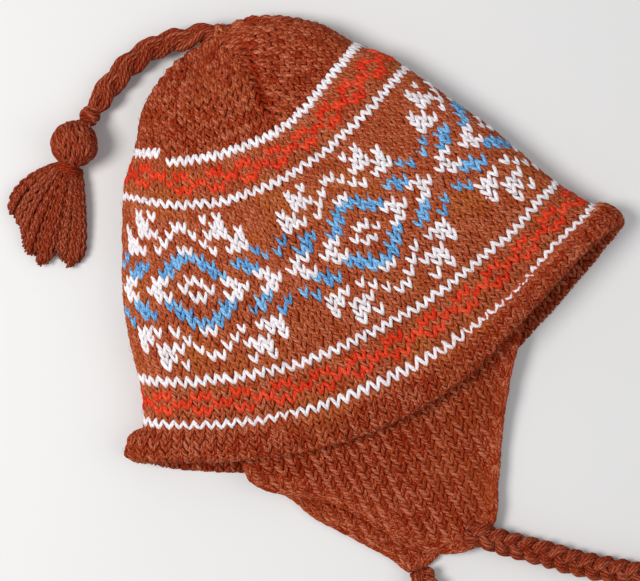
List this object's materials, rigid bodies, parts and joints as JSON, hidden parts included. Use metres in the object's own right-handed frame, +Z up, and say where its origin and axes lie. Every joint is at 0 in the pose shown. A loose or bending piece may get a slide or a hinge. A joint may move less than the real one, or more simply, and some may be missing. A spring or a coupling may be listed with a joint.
{
  "type": "knitted chullo hat with ear flaps",
  "caption": "Knitted dome hat lying flat, with a rolled rim, a pair of pointed ear flaps, braided ties and a tasselled cord at the crown tip.",
  "frame": {"origin": "middle of the box of the hat without its cords, on the surface that it lies on", "axes": "+Y from the flaps toward the crown tip, +X across the hat to its right fold, +Z up from the surface"},
  "size_m": [0.2633, 0.3957, 0.03],
  "materials": {
    "knit_wool": "soft knitted wool, rust brown with white, blue and red patterning",
    "cord_wool": "braided wool, rust brown"
  },
  "bodies": {
    "root": {"hat_body": "knit_wool", "rim_hem": "knit_wool", "ear_flap_near": "knit_wool", "ear_flap_far": "knit_wool", "tie_near": "cord_wool", "tie_far": "cord_wool", "tie_near_knot": "cord_wool", "tie_far_knot": "cord_wool", "crown_cord": "cord_wool", "crown_cord_knot": "cord_wool", "tassel_head": "cord_wool", "tassel_skirt": "cord_wool"}
  },
  "joints": []
}
